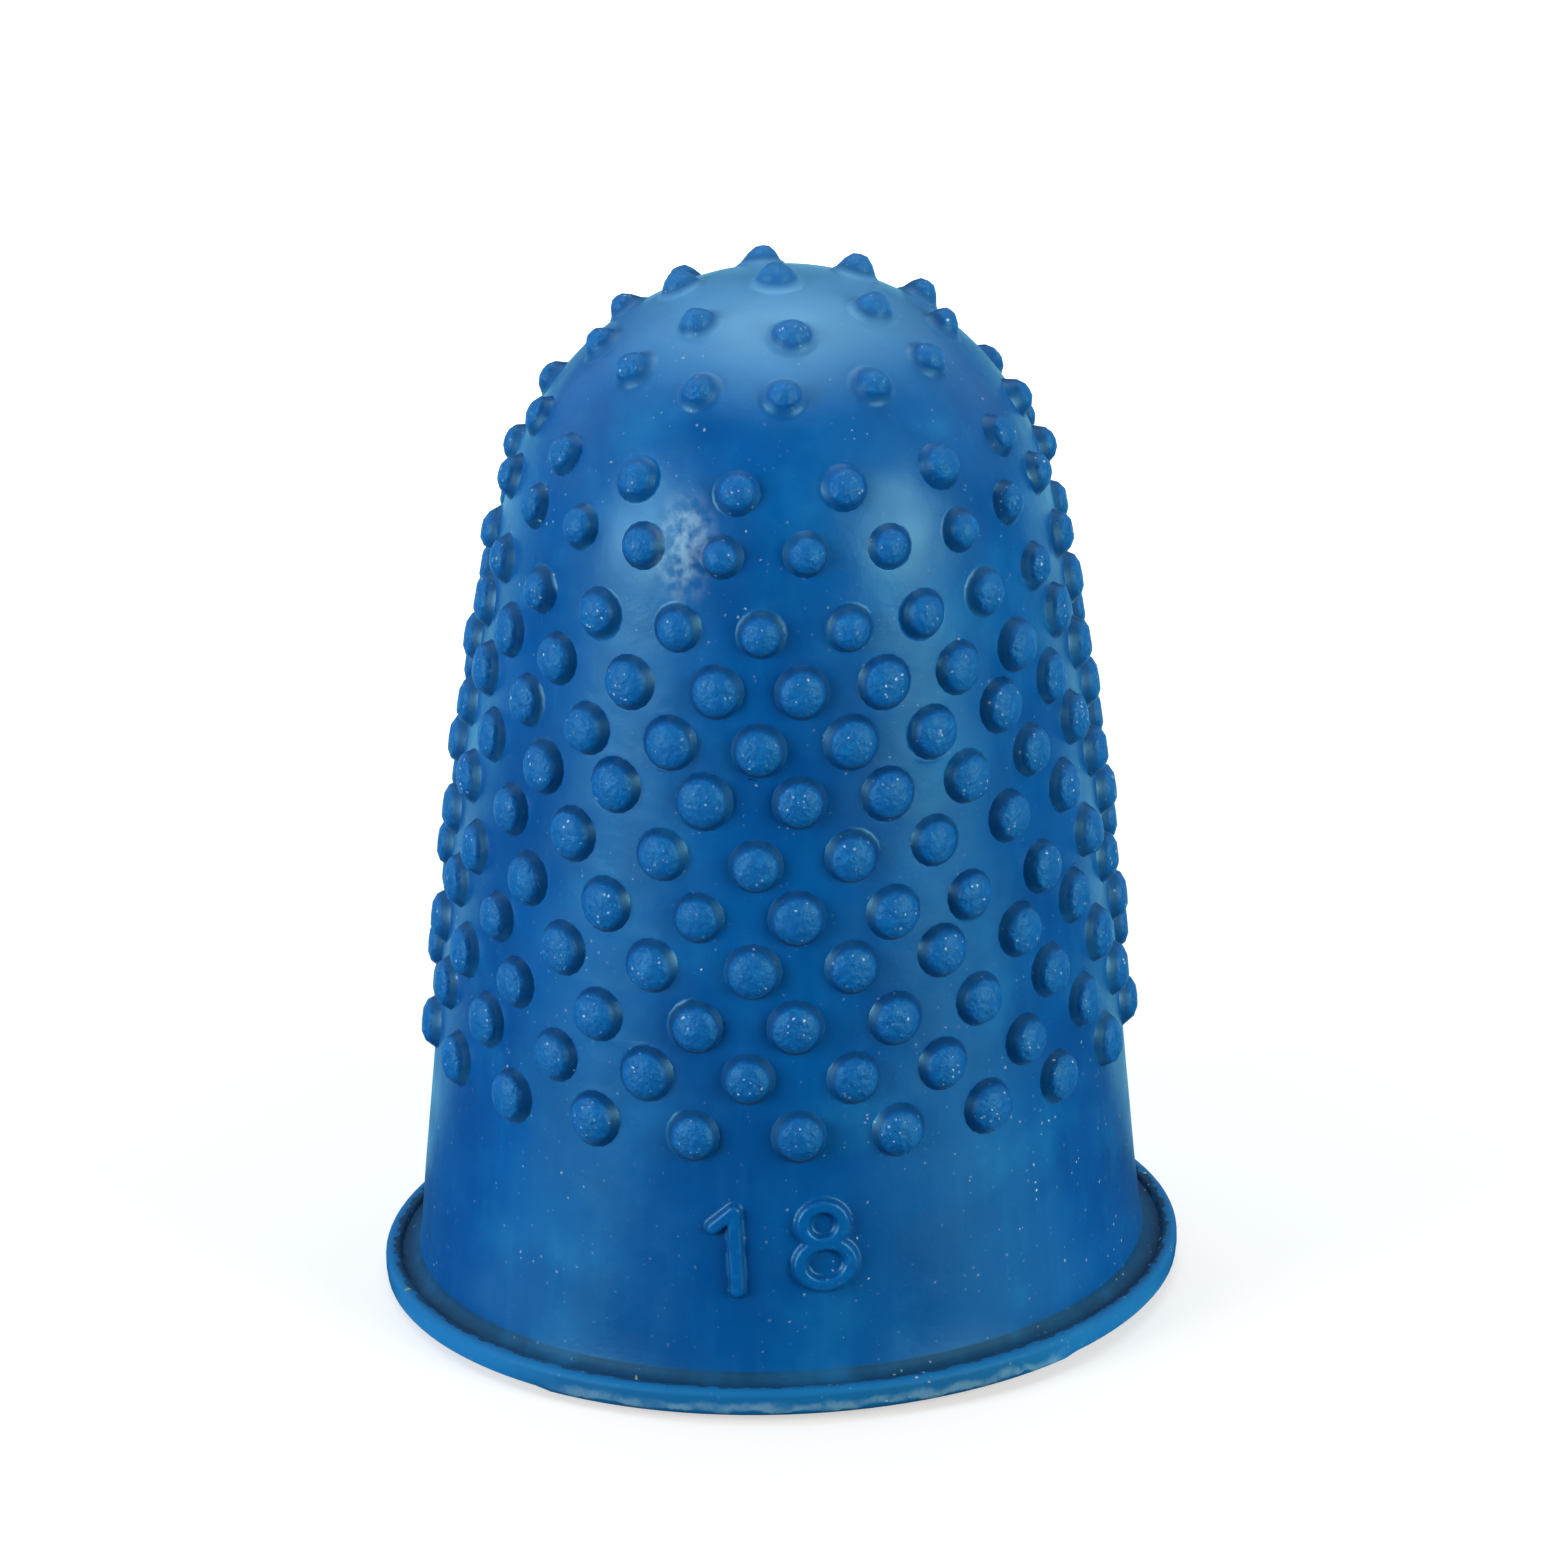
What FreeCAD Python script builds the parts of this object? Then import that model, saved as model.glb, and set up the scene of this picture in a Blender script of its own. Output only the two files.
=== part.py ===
import FreeCAD, Part
import math
import os
import Sketcher

# Rubber finger tip: one hollow moulded thimble, closed at the top and open at the bottom.
# Millimetres, +Z up, origin at the middle of the underside of the rim, front of the object at -Y.

# Driving sizes, each in one cell of the sheet under its own name; tapers and angles are in degrees

SIZES = {
    # wall: a skirt, a steeper upper side that starts at the bend, and a round crown tangent to it
    "crown_height": 29.3,
    "crown_radius": 7.6,
    "upper_taper": 8.4,
    "skirt_taper": 5.0,
    "bend_height": 13.3,
    "wall_thickness": 1.1,
    # rim: a rounded root at the wall, a shallow trough beside it, and a bead round the outside
    "trough_width": 0.52,
    "bead_width": 0.45,
    "bead_height": 0.75,
    "trough_depth": 0.12,
    "root_fillet": 0.4,
    "bead_chamfer": 0.12,
    "under_chamfer": 0.1,
    "mouth_chamfer": 0.2,
    # nubs: tapered studs that stand square to the wall, with this radius where they meet it
    "nub_radius": 0.77,
    "nub_height": 0.6,
    "nub_taper": 24.0,
    "nub_root_depth": 0.35,
    # rings of nubs up the side, each turned by half a pitch from the one below
    "side_rings": 10,
    "side_nubs": 20,
    "first_ring_height": 7.88,
    "ring_pitch": 1.575,
    "front_turn": 4.0,
    # rings of nubs on the crown, each with its angle down from the pole and its turn from the front
    "shoulder_ring_angle": 72.0,
    "shoulder_ring_turn": 6.5,
    "upper_ring_angle": 58.0,
    "upper_ring_turn": 17.0,
    "upper_ring_nubs": 15,
    "middle_ring_angle": 38.0,
    "middle_ring_turn": 3.5,
    "middle_ring_nubs": 12,
    "inner_ring_angle": 22.0,
    "inner_ring_turn": 8.7,
    "inner_ring_nubs": 6,
}
NUB_SIDES = 8

doc = FreeCAD.newDocument("finger_tip")
sheet = doc.addObject("Spreadsheet::Sheet", "sizes")
for row, (name, value) in enumerate(SIZES.items(), start=1):
    sheet.set(f"A{row}", name)
    sheet.set(f"B{row}", str(value))
    sheet.setAlias(f"B{row}", name)
doc.recompute()


def size(name):
    """The number in one cell of the sheet."""
    return float(sheet.get(name))


def angle(name):
    """An angle from the sheet, in radians."""
    return math.radians(size(name))


# Wall: half of its section, drawn right of the axis and turned once round it

# the sketcher's numbers for a line's or arc's points, its own two axes, and its origin
START, END, CENTRE = range(1, 4)
X_AXIS, Z_AXIS = range(-1, -3, -1)
ORIGIN = (X_AXIS, START)

wall = doc.addObject("PartDesign::Body", "wall")
crown_centre = size("crown_height") - size("crown_radius")


def origin_part(role):
    """One of the wall's own origin planes or axes."""
    return next(part for part in wall.Origin.OriginFeatures if part.Role == role)


def side_radius(height):
    """The outside radius at a height, on the upper side or, below the bend, on the skirt."""
    above = max(height, size("bend_height"))
    upper = (size("crown_radius") - (above - crown_centre) * math.sin(angle("upper_taper")))
    return upper / math.cos(angle("upper_taper")) + (above - height) * math.tan(angle("skirt_taper"))


def wall_points(inset):
    """Where the wall's line leaves the crown, bends and ends, set in from the outside by a distance."""
    upper, skirt = angle("upper_taper"), angle("skirt_taper")
    radius = size("crown_radius") - inset
    tangent = (radius * math.cos(upper), crown_centre + radius * math.sin(upper))
    reach = inset / math.cos((upper - skirt) / 2)
    lean = (upper + skirt) / 2
    bend_height = size("bend_height")
    bend = (side_radius(bend_height) - reach * math.cos(lean), bend_height - reach * math.sin(lean))
    foot = (bend[0] + bend[1] * math.tan(skirt), 0)
    return tangent, bend, foot


def constrain(sketch, *terms, formula=None):
    """Add one constraint, driven by the sheet where it has a formula."""
    index = sketch.addConstraint(Sketcher.Constraint(*terms))
    if formula:
        sketch.setExpression(f"Constraints[{index}]", formula)


def wall_section():
    """The closed half section: the outside from the crown down, the rim, and the inside back up."""
    thickness = size("wall_thickness")
    floor = size("bead_height") - size("trough_depth")
    step = side_radius(floor) + size("trough_width")
    rim = step + size("bead_width")
    tangent, bend, foot = wall_points(0)
    inner_tangent, inner_bend, inner_foot = wall_points(thickness)
    corners = [
        tangent,
        bend,
        (side_radius(floor), floor),
        (step, floor),
        (step, size("bead_height")),
        (rim, size("bead_height")),
        (rim, 0),
        inner_foot,
        inner_bend,
        inner_tangent,
    ]

    def line(first, second):
        return Part.LineSegment(FreeCAD.Vector(*first, 0), FreeCAD.Vector(*second, 0))

    def arc(radius):
        circle = Part.Circle(FreeCAD.Vector(0, crown_centre, 0), FreeCAD.Vector(0, 0, 1), radius)
        return Part.ArcOfCircle(circle, angle("upper_taper"), math.pi / 2)

    sketch = wall.newObject("Sketcher::SketchObject", "wall_section")
    sketch.AttachmentSupport = [(origin_part("XZ_Plane"), "")]
    sketch.MapMode = "FlatFace"
    lines = [line(first, second) for first, second in zip(corners, corners[1:])]
    side, skirt, trough, ledge, bead_top, bead_side, under, inner_skirt, inner_side = range(len(lines))
    crown, inner_crown, pole = range(len(lines), len(lines) + 3)
    arcs = [arc(size("crown_radius")), arc(size("crown_radius") - thickness)]
    pole_line = line((0, size("crown_height")), (0, size("crown_height") - thickness))
    sketch.addGeometry([*lines, *arcs, pole_line], False)

    # a chain of lines, with an arc tangent to each of its ends and a short line at the pole
    for first in range(side, inner_side):
        constrain(sketch, "Coincident", first, END, first + 1, START)
    constrain(sketch, "Tangent", crown, START, side, START)
    constrain(sketch, "Tangent", inner_crown, START, inner_side, END)
    constrain(sketch, "Coincident", crown, END, pole, START)
    constrain(sketch, "Coincident", inner_crown, END, pole, END)
    constrain(sketch, "Coincident", crown, CENTRE, inner_crown, CENTRE)
    for point in ((crown, CENTRE), (crown, END), (inner_crown, END)):
        constrain(sketch, "PointOnObject", *point, Z_AXIS)
    constrain(sketch, "PointOnObject", under, START, X_AXIS)
    for flat in (trough, bead_top, under):
        constrain(sketch, "Horizontal", flat)
    for upright in (ledge, bead_side):
        constrain(sketch, "Vertical", upright)
    constrain(sketch, "Parallel", side, inner_side)
    constrain(sketch, "Parallel", skirt, inner_skirt)

    # its sizes; a line that runs down and outward lies at its taper less 90 degrees
    constrain(sketch, "Radius", crown, size("crown_radius"), formula="sizes.crown_radius")
    constrain(sketch, "Radius", inner_crown, size("crown_radius") - thickness,
              formula="sizes.crown_radius - sizes.wall_thickness")
    constrain(sketch, "Distance", inner_side, START, skirt, thickness, formula="sizes.wall_thickness")
    constrain(sketch, "DistanceY", *ORIGIN, crown, END, size("crown_height"), formula="sizes.crown_height")
    constrain(sketch, "DistanceY", *ORIGIN, side, END, size("bend_height"), formula="sizes.bend_height")
    constrain(sketch, "Angle", side, angle("upper_taper") - math.pi / 2, formula="sizes.upper_taper - 90")
    constrain(sketch, "Angle", skirt, angle("skirt_taper") - math.pi / 2, formula="sizes.skirt_taper - 90")
    constrain(sketch, "DistanceX", trough, START, trough, END, size("trough_width"),
              formula="sizes.trough_width")
    constrain(sketch, "DistanceX", bead_top, START, bead_top, END, size("bead_width"),
              formula="sizes.bead_width")
    constrain(sketch, "DistanceY", bead_side, END, bead_side, START, size("bead_height"),
              formula="sizes.bead_height")
    constrain(sketch, "DistanceY", ledge, START, ledge, END, size("trough_depth"), formula="sizes.trough_depth")
    return sketch


turned = wall.newObject("PartDesign::Revolution", "turned_wall")
turned.Profile = wall_section()
turned.ReferenceAxis = (origin_part("Z_Axis"), [""])
turned.Angle = 360
doc.recompute()


# Rim: the root at the wall is rounded, and the bead, the underside and the mouth are bevelled

def round_edges(feature, radius, height):
    """The names of the edges that run round the Z axis at one radius and height."""
    names = []
    for number, edge in enumerate(feature.Shape.Edges, start=1):
        if edge.Degenerated or not isinstance(edge.Curve, Part.Circle):
            continue
        if abs(edge.Curve.Radius - radius) < 0.001 and abs(edge.Curve.Center.z - height) < 0.001:
            names.append(f"Edge{number}")
    return names


def ease(kind, name, radius, height):
    """Round or bevel one edge of the rim by the size that has the feature's name."""
    base = wall.Tip
    feature = wall.newObject(f"PartDesign::{kind}", name)
    feature.Base = (base, round_edges(base, radius, height))
    feature.setExpression("Radius" if kind == "Fillet" else "Size", f"sizes.{name}")
    doc.recompute()


trough_floor = size("bead_height") - size("trough_depth")
root_radius = side_radius(trough_floor)
rim_radius = root_radius + size("trough_width") + size("bead_width")
mouth_radius = wall_points(size("wall_thickness"))[2][0]
ease("Fillet", "root_fillet", root_radius, trough_floor)
ease("Chamfer", "bead_chamfer", rim_radius, size("bead_height"))
ease("Chamfer", "under_chamfer", rim_radius, 0)
ease("Chamfer", "mouth_chamfer", mouth_radius, 0)


# Nubs: flat-sided studs, each started a little inside the wall so that it grows out of it

def stud():
    """One nub that stands on the origin: a many-sided taper from inside the wall to its flat tip."""
    def corners(height):
        radius = size("nub_radius") - height * math.tan(angle("nub_taper"))
        turns = [2 * math.pi * side / NUB_SIDES for side in range(NUB_SIDES)]
        return [FreeCAD.Vector(radius * math.cos(turn), radius * math.sin(turn), height) for turn in turns]

    root = corners(-size("nub_root_depth"))
    tip = corners(size("nub_height"))
    outlines = [root, tip]
    for side in range(NUB_SIDES):
        after = (side + 1) % NUB_SIDES
        outlines.append([root[side], root[after], tip[after], tip[side]])
    faces = [Part.Face(Part.makePolygon([*outline, outline[0]])) for outline in outlines]
    solid = Part.makeSolid(Part.makeShell(faces))
    return solid if solid.Volume > 0 else solid.reversed()


def nub_ring(nub, radius, height, tilt, turn, count):
    """Copies of the nub round the axis, tilted up from level; the first is turned from the front."""
    ring = []
    for step in range(count):
        around = turn + 360 * step / count
        outward = FreeCAD.Rotation(FreeCAD.Vector(0, 0, 1), around - 90)
        lifted = FreeCAD.Rotation(FreeCAD.Vector(0, 1, 0), 90 - tilt)
        place = outward.multVec(FreeCAD.Vector(radius, 0, height))
        copy = nub.copy()
        copy.Placement = FreeCAD.Placement(place, outward * lifted)
        ring.append(copy)
    return ring


def all_nubs():
    nub = stud()
    nubs = []
    for number in range(int(size("side_rings"))):
        height = size("first_ring_height") + number * size("ring_pitch")
        tilt = size("upper_taper") if height > size("bend_height") else size("skirt_taper")
        turn = size("front_turn") + (number % 2) * 180 / size("side_nubs")
        nubs += nub_ring(nub, side_radius(height), height, tilt, turn, int(size("side_nubs")))
    crown_rings = (("shoulder_ring", "side_nubs"), ("upper_ring", "upper_ring_nubs"),
                   ("middle_ring", "middle_ring_nubs"), ("inner_ring", "inner_ring_nubs"))
    for ring, count in crown_rings:
        fall = angle(f"{ring}_angle")
        radius = size("crown_radius") * math.sin(fall)
        height = crown_centre + size("crown_radius") * math.cos(fall)
        tilt = 90 - math.degrees(fall)
        nubs += nub_ring(nub, radius, height, tilt, size(f"{ring}_turn"), int(size(count)))
    nubs += nub_ring(nub, 0, size("crown_height"), 90, 0, 1)
    return nubs


nubs = doc.addObject("Part::Feature", "nubs")
nubs.Shape = Part.makeCompound(all_nubs())

# The nubs and the wall are one moulded piece; a plain copy of the wall, free of its features' names, joins fast

plain_wall = Part.Shape()
plain_wall.importBrepFromString(wall.Shape.exportBrepToString())
finger_tip = doc.addObject("Part::Feature", "finger_tip")
finger_tip.Label = "finger_tip"
finger_tip.Shape = plain_wall.multiFuse(nubs.Shape.Solids).Solids[0]
finger_tip.Placement = FreeCAD.Placement()
doc.recompute()

# Every object is checked before the solid is written

for item in doc.Objects:
    if "Invalid" in item.State or "Error" in item.State:
        raise RuntimeError(f"{item.Name} failed: {item.State}")
if finger_tip.Shape.isNull() or not finger_tip.Shape.isValid() or len(finger_tip.Shape.Solids) != 1:
    raise RuntimeError("the finger tip is not one valid solid")

os.makedirs("parts", exist_ok=True)
finger_tip.Shape.exportStep(f"parts/{finger_tip.Label}.step")
print(f"{finger_tip.Label}: {finger_tip.Shape.Volume:.0f} mm3, {len(nubs.Shape.Solids)} nubs, "
      f"{len(finger_tip.Shape.Faces)} faces")
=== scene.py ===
# %% [markdown]
# A rubber finger tip is a thimble that an office worker wears to leaf through paper. It is moulded in one
# piece: a thin hollow wall, rows of small nubs that grip the paper, and a stiff rim round the open mouth.
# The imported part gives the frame. Its solid has the true wall and flat-sided nubs, and here it is replaced
# by a mesh with round, softly rooted nubs, a little dust and the slight unevenness of the real moulding.

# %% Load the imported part
import math
import random

import bpy
import numpy as np
from mathutils import Matrix, Vector
from mathutils.kdtree import KDTree


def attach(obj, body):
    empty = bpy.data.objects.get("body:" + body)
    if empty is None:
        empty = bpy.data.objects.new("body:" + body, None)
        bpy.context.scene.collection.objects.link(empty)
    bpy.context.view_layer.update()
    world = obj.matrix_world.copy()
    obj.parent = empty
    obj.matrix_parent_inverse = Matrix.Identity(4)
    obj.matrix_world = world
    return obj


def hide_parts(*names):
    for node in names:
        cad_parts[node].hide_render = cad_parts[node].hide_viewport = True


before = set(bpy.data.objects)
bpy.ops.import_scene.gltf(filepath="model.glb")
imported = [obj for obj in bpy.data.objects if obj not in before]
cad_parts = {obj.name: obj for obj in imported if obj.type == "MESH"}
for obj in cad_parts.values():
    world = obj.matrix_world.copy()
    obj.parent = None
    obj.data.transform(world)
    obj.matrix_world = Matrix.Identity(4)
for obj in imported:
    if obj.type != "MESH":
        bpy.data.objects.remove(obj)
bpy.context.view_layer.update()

# %% [markdown]
# The piece is drawn in millimetres, at a thousand times its size, because edit tools lose edges that are a
# ten-thousandth of a metre long. It is brought down to metres once, when its shape is done.

# %% Units and small helpers
MM = 0.001


def linear(hex_colour):
    """An sRGB hex colour as the linear colour that shaders use."""
    levels = [int(hex_colour[start:start + 2], 16) / 255 for start in (1, 3, 5)]
    return [level / 12.92 if level <= 0.04045 else ((level + 0.055) / 1.055) ** 2.4
            for level in levels] + [1]


def edit(piece):
    """Start editing one piece with nothing selected."""
    bpy.ops.object.select_all(action="DESELECT")
    bpy.context.view_layer.objects.active = piece
    piece.select_set(True)
    bpy.ops.object.mode_set(mode="EDIT")
    bpy.ops.mesh.select_mode(type="FACE")
    bpy.ops.mesh.select_all(action="DESELECT")


def select_faces(piece, wanted):
    """Leave edit mode, mark the faces that are wanted, and go back in with only those selected."""
    edit(piece)
    bpy.ops.object.mode_set(mode="OBJECT")
    piece.data.polygons.foreach_set("select", [bool(wanted(face)) for face in piece.data.polygons])
    bpy.ops.object.mode_set(mode="EDIT")


def points_of(piece):
    """The places of a mesh's points as rows of x, y, z."""
    places = np.empty(len(piece.data.vertices) * 3)
    piece.data.vertices.foreach_get("co", places)
    return places.reshape(-1, 3)


def put_points(piece, places):
    """Give a mesh's points their new places."""
    piece.data.vertices.foreach_set("co", np.asarray(places, dtype=float).ravel())
    piece.data.update()


print("the drawing's unit is", MM, "metres")

# %% [markdown]
# The outside of the wall is a body of revolution. Its side isn't quite straight: the skirt is a plain cone,
# the grip above it bows very slightly, along an arc of a very large circle, and a round crown closes the top.
# One function that presses any point onto this surface lets the later steps push points about freely and
# still end on the true wall.

# %% The bare wall
CROWN_RADIUS = 7.6
CROWN_CENTRE = 21.67
FLANK_RADIUS = 149.58
FLANK_CENTRE = (-139.69, -3.69)
FOOT_RADIUS = 10.09
SKIRT_TAPER = math.radians(4.66)
SKIRT_TOP = 8.47
WALL_THICKNESS = 1.1
TINY = 1e-9

crown_foot = math.atan2(CROWN_CENTRE - FLANK_CENTRE[1], -FLANK_CENTRE[0])
crown_foot_height = CROWN_CENTRE + CROWN_RADIUS * math.sin(crown_foot)


def wall_radius(height):
    """The outside radius of the wall at a height."""
    if height < SKIRT_TOP:
        return FOOT_RADIUS - height * math.tan(SKIRT_TAPER)
    if height < crown_foot_height:
        return FLANK_CENTRE[0] + math.sqrt(FLANK_RADIUS ** 2 - (height - FLANK_CENTRE[1]) ** 2)
    return math.sqrt(max(CROWN_RADIUS ** 2 - (height - CROWN_CENTRE) ** 2, 0))


def onto_wall(places):
    """The nearest place on the bare wall to each point, and the wall's outward direction there."""
    radius = np.hypot(places[:, 0], places[:, 1])
    height = places[:, 2]
    up = height - CROWN_CENTRE
    crown = np.stack([radius, up], 1) / np.maximum(np.hypot(radius, up), TINY)[:, None]
    out, rise = radius - FLANK_CENTRE[0], height - FLANK_CENTRE[1]
    flank = np.stack([out, rise], 1) / np.hypot(out, rise)[:, None]
    skirt = np.array([[math.cos(SKIRT_TAPER), math.sin(SKIRT_TAPER)]])
    off_skirt = (radius - FOOT_RADIUS) * skirt[0, 0] + height * skirt[0, 1]
    on_crown = (up > radius * math.tan(crown_foot))[:, None]
    on_skirt = (height < SKIRT_TOP)[:, None]
    normal = np.where(on_crown, crown, np.where(on_skirt, skirt, flank))
    section = np.where(
        on_crown, crown * CROWN_RADIUS + [0, CROWN_CENTRE],
        np.where(on_skirt, np.stack([radius, height], 1) - off_skirt[:, None] * skirt,
                 flank * FLANK_RADIUS + FLANK_CENTRE))
    round_x = np.where(radius > TINY, places[:, 0] / np.maximum(radius, TINY), 1)
    round_y = np.where(radius > TINY, places[:, 1] / np.maximum(radius, TINY), 0)
    pressed = np.stack([section[:, 0] * round_x, section[:, 0] * round_y, section[:, 1]], 1)
    outward = np.stack([normal[:, 0] * round_x, normal[:, 0] * round_y, normal[:, 1]], 1)
    return pressed, outward


print("wall radius at the foot, the skirt's top and the crown's foot:",
      [round(wall_radius(height), 2) for height in (0, SKIRT_TOP, crown_foot_height)])

# %% [markdown]
# The nubs stand in rings. Those on the side have 20 nubs, each turned by half a pitch from the ring below,
# and on the crown the rings have fewer as they close in on the pole. The heights and turns were measured in
# the photograph, and they aren't perfectly regular. A ring of the crown is given by its angle down from the
# pole, its turn and its number of nubs.

# %% Where the rings stand
SIDE_HEIGHTS = (7.88, 9.51, 11.00, 12.62, 14.06, 15.70, 17.32, 18.86, 20.39, 22.05, 24.09)
SIDE_TURNS = (3.0, 12.7, 2.8, 12.8, 3.0, 13.4, 3.7, 14.5, 4.6, 14.5, 5.7)
SIDE_SIZES = (1.0,) * 9 + (0.92, 0.84)
SIDE_COUNT = 20
CROWN_RINGS = ((58.4, 15.2, 15), (37.5, 2.6, 12), (21.7, 8.4, 6))
CROWN_SIZES = (0.84, 0.87, 0.96)
CROWN_EDGE_COUNT = CROWN_RINGS[0][2]

rings = [{"place": (wall_radius(height), height), "turn": turn, "count": SIDE_COUNT, "size": size}
         for height, turn, size in zip(SIDE_HEIGHTS, SIDE_TURNS, SIDE_SIZES)]
for (fall, turn, count), size in zip(CROWN_RINGS, CROWN_SIZES):
    place = (CROWN_RADIUS * math.sin(math.radians(fall)),
             CROWN_CENTRE + CROWN_RADIUS * math.cos(math.radians(fall)))
    rings.append({"place": place, "turn": turn, "count": count, "size": size})
print(len(rings), "rings and one nub at the pole:", sum(ring["count"] for ring in rings) + 1, "nubs")

# %% [markdown]
# A thimble's section could be turned on a lathe, so its mesh starts as one: half of the section is drawn as
# a line, from the pole of the inside down the wall, round the rim, and up the outside to the other pole. The
# first part of the line is the inside, the flat underside, and the rim with its bead, the step down into its
# trough, and the soft root where the trough meets the wall.

# %% The half section: inside and rim
INNER_TOP = 22.6
INNER_STEP = 0.9
INNER_STEPS = 25
MOUTH_LEVEL = 0.4
MOUTH_ROUND = 0.2
UNDERSIDE_RADII = (9.6, 10.2, 10.55)
RIM_RADIUS = 11.0
LOWER_ROUND = 0.16
BEAD_MIDDLE = 0.35
BEAD_WIDTH = 0.45
BEAD_HEIGHT = 0.75
BEAD_ROUND = 0.2
STEP_SHAPE = ((0.1, 0.01), (0.03, 0.04), (0, 0.09))
STEP_LEAN = 0.02
TROUGH_FLOOR = 0.61
ROOT_RADIUS = 0.4


def arc(centre, radius, start, end, steps):
    """Points along an arc of the section, from one angle to the other, in degrees."""
    angles = [math.radians(start + (end - start) * step / steps) for step in range(steps + 1)]
    return [(centre[0] + radius * math.cos(a), centre[1] + radius * math.sin(a)) for a in angles]


def inside(height):
    """The point of the inner wall across from the outside at a height."""
    place, outward = onto_wall(np.array([[wall_radius(height), 0.0, height]]))
    inner = place[0] - WALL_THICKNESS * outward[0]
    return inner[0], inner[2]


inner_crown = arc((0, CROWN_CENTRE), CROWN_RADIUS - WALL_THICKNESS, start=90, end=12, steps=16)
inner_side = [inside(INNER_TOP - INNER_STEP * step) for step in range(INNER_STEPS)]
mouth = arc((inside(MOUTH_LEVEL)[0] + MOUTH_ROUND, MOUTH_ROUND), MOUTH_ROUND, start=180, end=270, steps=4)
underside = [(radius, 0.0) for radius in UNDERSIDE_RADII]
bead_foot = arc((RIM_RADIUS - LOWER_ROUND, LOWER_ROUND), LOWER_ROUND, start=-90, end=0, steps=4)
bead_top = arc((RIM_RADIUS - BEAD_ROUND, BEAD_HEIGHT - BEAD_ROUND), BEAD_ROUND, start=0, end=90, steps=6)
bead_edge = RIM_RADIUS - BEAD_WIDTH
step_down = [(bead_edge + out, BEAD_HEIGHT - down) for out, down in STEP_SHAPE]
step_down.append((bead_edge - STEP_LEAN, TROUGH_FLOOR))
root = arc((wall_radius(TROUGH_FLOOR) + ROOT_RADIUS, TROUGH_FLOOR + ROOT_RADIUS), ROOT_RADIUS,
           start=265, end=185, steps=7)
section = (inner_crown + inner_side + mouth + underside + bead_foot + [(RIM_RADIUS, BEAD_MIDDLE)]
           + bead_top + step_down + root)
print(len(section), "points of the inside and the rim")

# %% [markdown]
# The line goes on up the plain skirt and over the rings of nubs to the pole. Its points are spaced so that
# each ring has four narrow rows to itself, and ordinary rows fill the wall between two rings.

# %% The half section: outside
SKIRT_STEPS = 15
PATCH_ROWS = 4
PATCH_HALF = 0.5
ROW_STEP = 0.45
NUB_FOOT = 0.84
POLE_STEPS = 4

skirt_start = section[-1][1]
skirt_end = SIDE_HEIGHTS[0] - PATCH_HALF
for step in range(1, SKIRT_STEPS):
    height = skirt_start + (skirt_end - skirt_start) * step / SKIRT_STEPS
    section.append((wall_radius(height), height))


def along_wall(place, distance):
    """The place on the section a short way up the wall from another."""
    at = np.array([[place[0], 0.0, place[1]]])
    _, outward = onto_wall(at)
    upward = np.array([-outward[0, 2], 0.0, outward[0, 0]])
    moved, _ = onto_wall(at + distance * upward)
    return moved[0, 0], moved[0, 2]


def between(low, high, count):
    """Evenly spaced places on the wall between two others."""
    shares = [step / count for step in range(1, count)]
    chord = np.array([[low[0] + (high[0] - low[0]) * share, 0.0, low[1] + (high[1] - low[1]) * share]
                      for share in shares])
    moved, _ = onto_wall(chord)
    return [(place[0], place[2]) for place in moved]


for index, ring in enumerate(rings):
    patch = [along_wall(ring["place"], PATCH_HALF * (2 * row / PATCH_ROWS - 1))
             for row in range(PATCH_ROWS + 1)]
    if index:
        gap = math.dist(section[-1], patch[0])
        section += between(section[-1], patch[0], max(2, round(gap / ROW_STEP)))
    ring["rows"] = (len(section), len(section) + PATCH_ROWS)
    section += patch
pole_foot = (NUB_FOOT, CROWN_CENTRE + math.sqrt(CROWN_RADIUS ** 2 - NUB_FOOT ** 2))
section += between(section[-1], pole_foot, POLE_STEPS) + [pole_foot, (0, CROWN_CENTRE + CROWN_RADIUS)]
pole_row = len(section) - 2
print(len(section), "points in the half section")

# %% [markdown]
# Spin turns the line once round the axis, as a lathe would. The two poles and the seam are then closed by
# merging the points that fall on each other, and the normals are set to face out of the rubber.

# %% Turn the section
COLUMNS = 120
MERGE_DISTANCE = 0.0005

mesh = bpy.data.meshes.new("finger_tip_rubber")
mesh.from_pydata([(0, -radius, height) for radius, height in section],
                 [(row, row + 1) for row in range(len(section) - 1)], [])
tip = bpy.data.objects.new("finger_tip_rubber", mesh)
bpy.context.collection.objects.link(tip)
edit(tip)
bpy.ops.mesh.select_mode(type="VERT")
bpy.ops.mesh.select_all(action="SELECT")
bpy.ops.mesh.spin(steps=COLUMNS, angle=2 * math.pi, center=(0, 0, 0), axis=(0, 0, 1))
bpy.ops.mesh.select_all(action="SELECT")
bpy.ops.mesh.remove_doubles(threshold=MERGE_DISTANCE)
bpy.ops.mesh.normals_make_consistent(inside=False)
bpy.ops.object.mode_set(mode="OBJECT")
print("turned wall:", len(mesh.vertices), "points,", len(mesh.polygons), "faces")

# %% [markdown]
# Every point is told which row and which column it is on. These numbers stay with the points while faces
# are merged, so the corners of each nub's patch can be found again afterwards.

# %% Number the rows and columns
def note(name, kind, values):
    """Keep a value for each point of the finger tip as an attribute."""
    number = np.int32 if kind == "INT" else np.float32
    tip.data.attributes.new(name, kind, "POINT").data.foreach_set("value", values.astype(number))


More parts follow.
